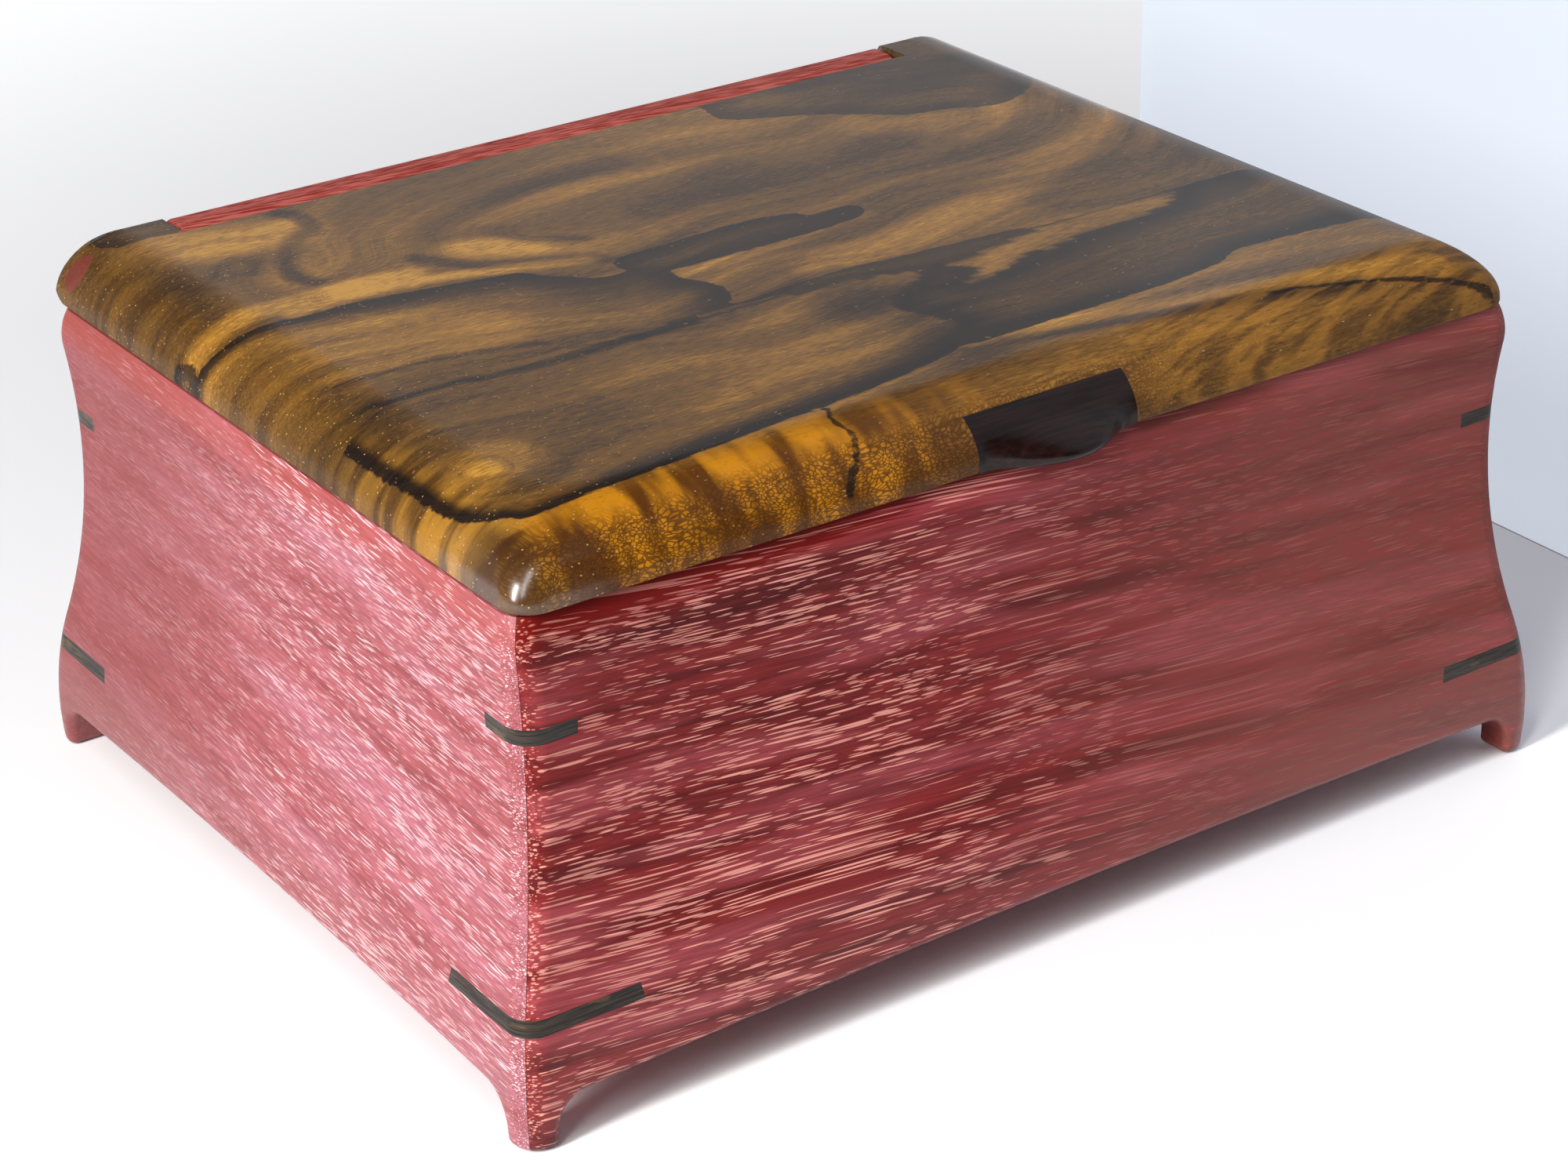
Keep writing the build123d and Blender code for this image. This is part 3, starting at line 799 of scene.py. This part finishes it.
# Soft grey-brown bands, each with how far from its line it is full and how far out it ends, its
# strength and the line.
soft_bands = [
    (0.9, 3.2, 0.95, [
        (-71, 76), (-68.3, 71.5), (-69.8, 63.8), (-76, 60), (-81.4, 53), (-84.5, 45.4), (-84.5, 40),
        (-82.9, 38.2),
    ]),
    (1.0, 3.2, 0.75, [
        (-61.2, 36.8), (-56.8, 30.2), (-52.5, 25.7), (-45.7, 22), (-38.3, 18.3), (-32.5, 14.6),
    ]),
    (0.6, 2.4, 0.6, [(-40.6, 37.5), (-37.5, 32.3), (-28.8, 25.7)]),
    (0.5, 1.6, 0.7, [(-108.6, -8), (-97.5, -9.9), (-86.4, -9.9), (-71.6, -12.8), (-64.2, -15)]),
    (0.5, 1.5, 0.9, [
        (-116, -15.8), (-111.6, -18.7), (-101.2, -21.3), (-86.4, -22), (-73.8, -23.9), (-48, -24),
    ]),
    (0.4, 3.0, 0.8, [(0, -66.5), (22, -71.5), (44.4, -75.9), (62.9, -79), (81.4, -82.8)]),
    (2.0, 8.0, 0.30, [(-10, 31), (10, 30), (34, 27), (60, 25)]),
    (1.5, 6.0, 0.4, [(0, 60), (-30, 56), (-52, 46), (-40, 40)]),
    (3.0, 11.0, 0.45, [(60, -14), (80, -12), (104, -8)]),
    (2.0, 7.0, 0.35, [(-105, 60), (-100, 54), (-90, 53), (-78, 58)]),
    (5.0, 16.0, 0.8, [(-112, 80), (-110, 58), (-112, 40)]),
    (4.0, 13.0, 0.5, [(-113, 12), (-112, -10), (-113, -34)]),
    (3.0, 12.0, 0.5, [(60, 72), (80, 62), (100, 66)]),
    (2.0, 17.0, 0.60, [(-2, -63), (4, -55), (3, -43), (-4, -34)]),
]
smoke = laid_along(soft_bands)

# Golden ribbons and clouds, in the same form.
golden_parts = [
    (2.0, 5.0, 0.9, [(-113, 31), (-97.5, 31), (-80, 31.5), (-66, 30)]),
    (1.0, 3.6, 1.0, [(-94.6, 26.2), (-74.6, 27.1), (-53.1, 22), (-34.6, 15.2)]),
    (3.0, 8.0, 0.6, [(-50, 35), (-45.7, 33), (-40, 29)]),
    (1.5, 4.0, 0.8, [(0, -63.8), (22, -67.5), (44.4, -71.9), (62.9, -75.6), (81.4, -79.3), (100, -83)]),
    (5.0, 14.0, 0.70, [(-100, 74), (-88, 70), (-76, 66)]),
    (6.0, 16.0, 0.55, [(-106, 2), (-86, 3), (-72, -2)]),
    (1.0, 3.0, 0.6, [(-24, -2.5), (-6, -1.4), (14, 0.2), (24, 2)]),
    (3.0, 9.0, 0.4, [(0, -16), (30, -11), (60, -2), (90, 14), (108, 24)]),
    (1.5, 5.0, 0.55, [(24, -36), (36, -31), (56, -29), (74, -29)]),
    (4.0, 11.0, 0.75, [(-104, -58), (-97, -55)]),
    (2.0, 6.0, 0.35, [(-56, -58), (-50, -57)]),
    (5.0, 16.0, 0.30, [(-60, -48), (-40, -46), (-24, -40)]),
    (3.0, 9.0, 0.35, [(55, 45), (64, 40), (90, 36)]),
]
gold = laid_along(golden_parts)
# Gold also fills the strip before the dark figure's front edge, and thins out over the middle.
behind_edge = depth_in(np.vstack([island_edge, [(116, 0), (-112.6, 0)]]))
front_strip = (behind_edge < 0) & (board_y < -58) & (board_x < 0)
gold = np.where(front_strip, np.maximum(gold, 0.65 * soft(board_x, -55, 5)), gold)
gold = np.maximum(gold, 0.15 * soft(half_length - abs(board_x), 3, 12) * soft(board_x, -90, -60))

# The growth rings, as heights over the board that its fine lines follow.
ring_guides = [
    (-92, [(-112, -89), (-60, -89), (-10, -86), (20, -84), (60, -92), (112, -104)]),
    (-72, [
        (-113, -60), (-104, -76), (-70, -74.3), (-24, -69.2), (0, -64), (40, -65), (64, -62),
        (112, -66),
    ]),
    (-60, [(-106, -66), (-84, -67), (-50, -64), (-10, -58), (40, -56), (90, -52)]),
    (-40, [(-102, -57)]),
    (-52, [(-92, -57), (-102, -47), (-108, -57)]),
    (-45, [(-84, -44), (-50, -44), (-10, -45), (30, -46), (90, -44)]),
    (-26, [(-110, -27), (-75, -26), (-48, -24.5), (0, -23), (47, -25.5), (90, -26)]),
    (-10, [(-109, -8), (-86, -9.5), (-64, -15), (-45, -20), (10, -16), (50, -8), (108, 8)]),
    (6, [(-112, 8), (-84, 4), (-60, -2), (-42, -10), (0, -1), (40, 6), (108, 26)]),
    (22, [(-114, 27.9), (-90, 23.6), (-60, 19.7), (-45.7, 13), (-31, 8), (0, 13), (40, 16), (106, 38)]),
    (32, [
        (-32, 14.6), (-46, 22), (-57, 30), (-54, 44), (-30, 55), (0, 57), (40, 52), (96, 46),
        (10, 20), (60, 21),
    ]),
    (42, [(-29, 26), (-38, 33), (-34, 41), (0, 43), (40, 40), (80, 36)]),
    (45, [(-20, 33), (-5, 33), (10, 32), (25, 31), (40, 30), (55, 29)]),
    (24, [(-10, 72), (-40, 66), (-62, 52), (-68, 40), (40, 68), (86, 62)]),
    (14, [(-30, 80), (-66, 66), (-82, 50), (-84, 40), (60, 84), (108, 70)]),
    (30, [(-112, 33), (-80, 33)]),
    (26, [(-90, 54)]),
    (20, [(-100, 56), (-90, 62), (-84, 56)]),
    (8, [(-108, 76), (-80, 74)]),
]
ring_marks = np.array([spot for _, spots in ring_guides for spot in spots], dtype=float)
levels = np.array([level for level, spots in ring_guides for _ in spots], dtype=float)


def thin_plate(apart):
    """How a thin sheet bends at a distance from the mark that lifts it."""
    return apart ** 2 * np.log(apart + 1e-6)


marks_apart = np.linalg.norm(ring_marks[:, None] - ring_marks[None], axis=2)
flat = np.hstack([np.ones((len(ring_marks), 1)), ring_marks])
give = 2.0  # how freely the sheet passes by the marks
stiff = thin_plate(marks_apart) + give * np.eye(len(ring_marks))
whole = np.block([[stiff, flat], [flat.T, np.zeros((3, 3))]])
weights = np.linalg.solve(whole, np.concatenate([levels, np.zeros(3)]))
growth = weights[-3] + weights[-2] * board_x + weights[-1] * board_y
for (mark_x, mark_y), weight in zip(ring_marks, weights):
    growth += weight * thin_plate(np.hypot(board_x - mark_x, board_y - mark_y))

figure = {"ink": ink, "shade": shade, "smoke": smoke, "gold": gold, "growth": growth}
for name, values in figure.items():
    layer = lid_mesh.attributes.new(name, "FLOAT", "POINT")
    layer.data.foreach_set("value", values.astype(np.float32))

lid_polish = {"Specular IOR Level": 0.04, "Coat Roughness": 0.22, "Coat IOR": 1.6}
lid_wood, bench, shader = new_finish("lid wood", lid_polish)


def drawn(name):
    """One layer of the figure, as it was drawn on the board's mesh."""
    return bench.lay("Attribute", attribute_name=name).outputs["Fac"]


place = bench.millimetres()
where = bench.lay("SeparateXYZ", {0: place}).outputs
torn = bench.noise(bench.stretch(place, (1 / 5, 1 / 1.2, 1 / 1.2)), 3.0, 0.6)[0]
torn = bench.math("MULTIPLY", bench.math("SUBTRACT", torn, 0.5), 1.5)
wavy = bench.noise(bench.stretch(place, (1 / 40, 1 / 25, 1 / 25)), 2.0)[0]
rings = bench.math("ADD", drawn("growth"), bench.math("MULTIPLY", bench.math("SUBTRACT", wavy, 0.5), 6.0))


def ring_noise(fine, along, detail, rough=0.55):
    """Noise that changes quickly across the rings and slowly along them."""
    across = bench.math("MULTIPLY", rings, fine)
    drift = [bench.math("MULTIPLY", where[i], along) for i in (0, 1)]
    spot = bench.lay("CombineXYZ", {0: across, 1: drift[0], 2: drift[1]}).outputs[0]
    return bench.noise(spot, detail, rough)[0]


broad = ring_noise(0.085, 0.010, 2.0)
middle = ring_noise(0.34, 0.014, 3.0)
thread = ring_noise(2.4, 0.035, 2.0)
dashes = bench.noise(bench.stretch(place, (1 / 3.4, 1 / 0.42, 1 / 0.6)), 2.0, 0.65)[0]
tone = bench.math("ADD", bench.math("MULTIPLY", broad, 0.90), bench.math("MULTIPLY", middle, 0.24))
tone = bench.math("ADD", tone, bench.math("MULTIPLY", bench.math("SUBTRACT", thread, 0.5), 0.16))
tone = bench.math("ADD", tone, bench.math("MULTIPLY", bench.math("SUBTRACT", dashes, 0.5), 0.60))
tone = bench.math("ADD", tone, bench.math("MULTIPLY", drawn("gold"), 0.32))
tone = bench.math("SUBTRACT", tone, bench.math("MULTIPLY", drawn("smoke"), 0.34))

tone_stops = [
    (0.20, paint(32, 23, 15)),
    (0.40, paint(68, 46, 22)),
    (0.60, paint(103, 71, 29)),
    (0.80, paint(145, 101, 38)),
    (1.00, paint(196, 143, 54)),
]
tone_ramp = bench.lay("ValToRGB", {0: tone})
tone_ramp.color_ramp.interpolation = "EASE"
while len(tone_ramp.color_ramp.elements) < len(tone_stops):
    tone_ramp.color_ramp.elements.new(0.5)
for stop, (position, stop_colour) in zip(tone_ramp.color_ramp.elements, tone_stops):
    stop.position = position
    stop.color = stop_colour
colour = tone_ramp.outputs[0]

# Rounded front: upright gold bands of the rays, partly the wood's own and partly painted sheen, and a net
# of cells.
front_low = bench.ramp(where[1], -70.0, -80.0)
glow = bench.noise(bench.stretch(place, (1 / 6.0, 1 / 24, 1 / 24)), 2.0)[0]
gilded_sheen = bench.mix(bench.ramp(glow, 0.38, 0.66), paint(84, 44, 3), paint(194, 126, 14))
gilt_sheen_share = bench.math("MULTIPLY", front_low, bench.ramp(where[0], 2.0, -50.0))
gilt_sheen_share = bench.math("MULTIPLY", gilt_sheen_share, bench.ramp(tone, 0.3, 0.7, 0.45, 0.95))
colour = bench.mix(gilt_sheen_share, colour, gilded_sheen)
# The left end has the same bands, browner: partly the wood's own gold and partly painted sheen.
to_front = bench.ramp(where[1], -20.0, -62.0, 0.15, 0.9)
end_sheen_share = bench.math("MULTIPLY", bench.ramp(where[0], -102.0, -110.0), to_front)
end_glow = bench.noise(bench.stretch(place, (1 / 24, 1 / 3.6, 1 / 24)), 2.0)[0]
end_gilt_sheen = bench.mix(bench.ramp(end_glow, 0.36, 0.64), paint(62, 38, 12), paint(148, 104, 34))
colour = bench.mix(end_sheen_share, colour, end_gilt_sheen)
near_end = bench.ramp(where[0], -107.5, -111.0)
at_corner = bench.math("MULTIPLY", near_end, bench.ramp(where[1], -68.0, -75.0))
colour = bench.mix(bench.math("MULTIPLY", at_corner, 0.70), colour, paint(46, 30, 14))
# The net of cells lies low on the front and fades to the right.
net_bend = bench.noise(bench.stretch(place, (1 / 9, 1 / 9, 1 / 6)), 1.0)[1]
net_bend = bench.stretch(bench.shift(net_bend, (-0.5, -0.5, -0.5)), (7.0, 0.0, 3.0))
net_place = bench.stretch(bench.shift(place, net_bend), (1 / 0.95, 0.0, 1 / 0.52))
net = bench.cells(net_place, "DISTANCE_TO_EDGE", 0.9)[0]
net_reach = bench.math("MULTIPLY", bench.ramp(where[2], 112.2, 109.0), bench.ramp(where[1], -74.0, -79.0))
net_reach = bench.math("MULTIPLY", net_reach, bench.ramp(where[0], 60.0, 5.0, 0.25, 1.0))
net_line = bench.math("MULTIPLY", bench.ramp(net, 0.20, 0.06), net_reach)
colour = bench.mix(bench.math("MULTIPLY", net_line, 0.8), colour, paint(70, 38, 12))

# Past the pull the gilding is combed: narrow leaning bands of gold, partly painted sheen as along the
# front.
comb_reach = bench.math("MULTIPLY", bench.ramp(where[1], -72.0, -79.0), bench.ramp(where[0], 14.0, 34.0))
comb_place = bench.stretch(place, (1.0, 1.0, 1.0), (0, 0, radians(-12)))
comb = bench.noise(bench.stretch(comb_place, (1 / 14, 1 / 1.7, 1 / 9)), 2.0)[0]
combed = bench.mix(bench.ramp(comb, 0.38, 0.62), paint(66, 42, 18), paint(176, 120, 40))
colour = bench.mix(bench.math("MULTIPLY", comb_reach, 0.32), colour, combed)

# The dark figure, torn a little along its edges.
inked = bench.math("ADD", drawn("ink"), torn)
dark_tone = bench.mix(bench.ramp(thread, 0.35, 0.7), paint(13, 8, 7), paint(34, 25, 19))
dark_share = bench.math("MULTIPLY", bench.ramp(inked, -0.22, 0.22, 0.0, 0.97), drawn("shade"))
colour = bench.mix(dark_share, colour, dark_tone)

# Open pores: short dark dashes along the board, with a fleck of dust or polish in some.
pore = bench.cells(bench.stretch(place, (1 / 3.4, 1 / 0.55, 1 / 0.9)))
pore_mask = bench.ramp(pore["Distance"], 0.24, 0.12)
pore_tone = bench.lay("SeparateColor", {0: pore["Color"]}).outputs[0]
colour = bench.mix(bench.math("MULTIPLY", pore_mask, 0.45), colour, paint(40, 26, 16))
pore_middle = bench.ramp(pore["Distance"], 0.16, 0.06)
flecks = bench.math("MULTIPLY", bench.ramp(pore_tone, 0.86, 0.9), pore_middle)
colour = bench.mix(bench.math("MULTIPLY", flecks, 0.6), colour, paint(224, 186, 128))
# Towards the left end, painted glints: pale specks in the pores stand in for the sparkle of the polish
# that fills them.
glint_cells = bench.cells(bench.stretch(place, (1 / 1.25, 1 / 0.95, 1 / 0.95)))
glint_tone = bench.lay("SeparateColor", {0: glint_cells["Color"]}).outputs[1]
glint_strength = bench.ramp(glint_tone, 0.3, 0.9, 0.0, 0.9)
painted_glints = bench.math("MULTIPLY", bench.ramp(glint_cells["Distance"], 0.20, 0.10), glint_strength)
painted_glints = bench.math("MULTIPLY", painted_glints, bench.ramp(where[0], -40.0, -95.0, 0.06, 0.8))
colour = bench.mix(painted_glints, colour, paint(206, 164, 104))
bench.join(colour, shader.inputs["Base Color"])
bench.join(bench.ramp(thread, 0.3, 0.7, 0.55, 0.45), shader.inputs["Roughness"])
# The polish is rubbed thin along the front edge and the left end, but not on the corner between them.
right_of_corner = bench.ramp(where[0], -106.0, -92.0)
behind_corner = bench.ramp(where[1], -70.0, -58.0)
rubbed_front = bench.math("MULTIPLY", bench.ramp(where[1], -72.0, -78.0), right_of_corner)
rubbed_end = bench.math("MULTIPLY", bench.ramp(where[0], -104.0, -111.0), behind_corner)
rubbed = bench.math("MAXIMUM", rubbed_front, rubbed_end)
bench.join(bench.ramp(rubbed, 0.0, 1.0, 0.95, 0.22), shader.inputs["Coat Weight"])
outside_pores = bench.math("SUBTRACT", 1.0, pore_mask)
lid_bump = bench.lay("Bump", {"Height": outside_pores, "Strength": 0.15, "Distance": 0.00008})
bench.join(lid_bump.outputs[0], shader.inputs["Normal"])
lid_mesh.materials.append(lid_wood)
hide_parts("lid_panel")
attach(lid_board, "lid")


# ---- Finger pull ----
# A carved lip of very dark, close wood, let into the front edge of the lid and polished.
pull_polish = {"Specular IOR Level": 0.06, "Coat Weight": 0.5, "Coat Roughness": 0.24}
pull_tones = {
    "Lines Full": 0.7,
    "Clouds Start": 0.5,
    "Clouds Full": 0.75,
    "Clouds Share": 0.5,
    "Ground": paint(16, 6, 4),
    "Line": paint(38, 17, 14),
    "Cloud": paint(34, 13, 11),
}
pull_wood = dark_wood(
    "pull wood", pull_polish, line_size=(14, 0.8, 0.8), cloud_size=(9, 5, 5),
    tones=pull_tones, rough_range=(0.40, 0.30), relief=0.12,
)
dress(["lid_pull"], pull_wood)


# ---- Hinge pins and plugs ----
# A brass pin at each end of the rail is the hinge. A red plug in the lid's end hides each one.
brass, bench, shader = new_finish("brass", {"Metallic": 1.0})
drawn_marks = bench.noise(bench.millimetres((1 / 8, 1 / 0.2, 1 / 0.2)), 3.0, 0.6)[0]
bench.join(bench.mix(drawn_marks, paint(186, 142, 72), paint(214, 176, 104)), shader.inputs["Base Color"])
bench.join(bench.ramp(drawn_marks, 0.3, 0.7, 0.24, 0.40), shader.inputs["Roughness"])
dress(["hinge_pin_left", "hinge_pin_right"], brass)

# The plugs are cut from the wood of the sides, which has darkened in them.
plug_wood, bench, shader = new_finish("plug wood", {
    "Specular IOR Level": 0.1,
    "Coat Weight": 0.25,
    "Coat Roughness": 0.22,
    "Roughness": 0.42,
})
plug_colour = use_group(bench, heartwood, {
    "Grain": bench.millimetres(turn=(0, radians(80), radians(20))),
    "Cover": 0.6,
    "Boldness": 0.3,
    **long_tones,
})["Colour"]
plug_colour = bench.mix(0.75, plug_colour, paint(88, 46, 28))
bench.join(plug_colour, shader.inputs["Base Color"])
dress(["pin_plug_left", "pin_plug_right"], plug_wood)
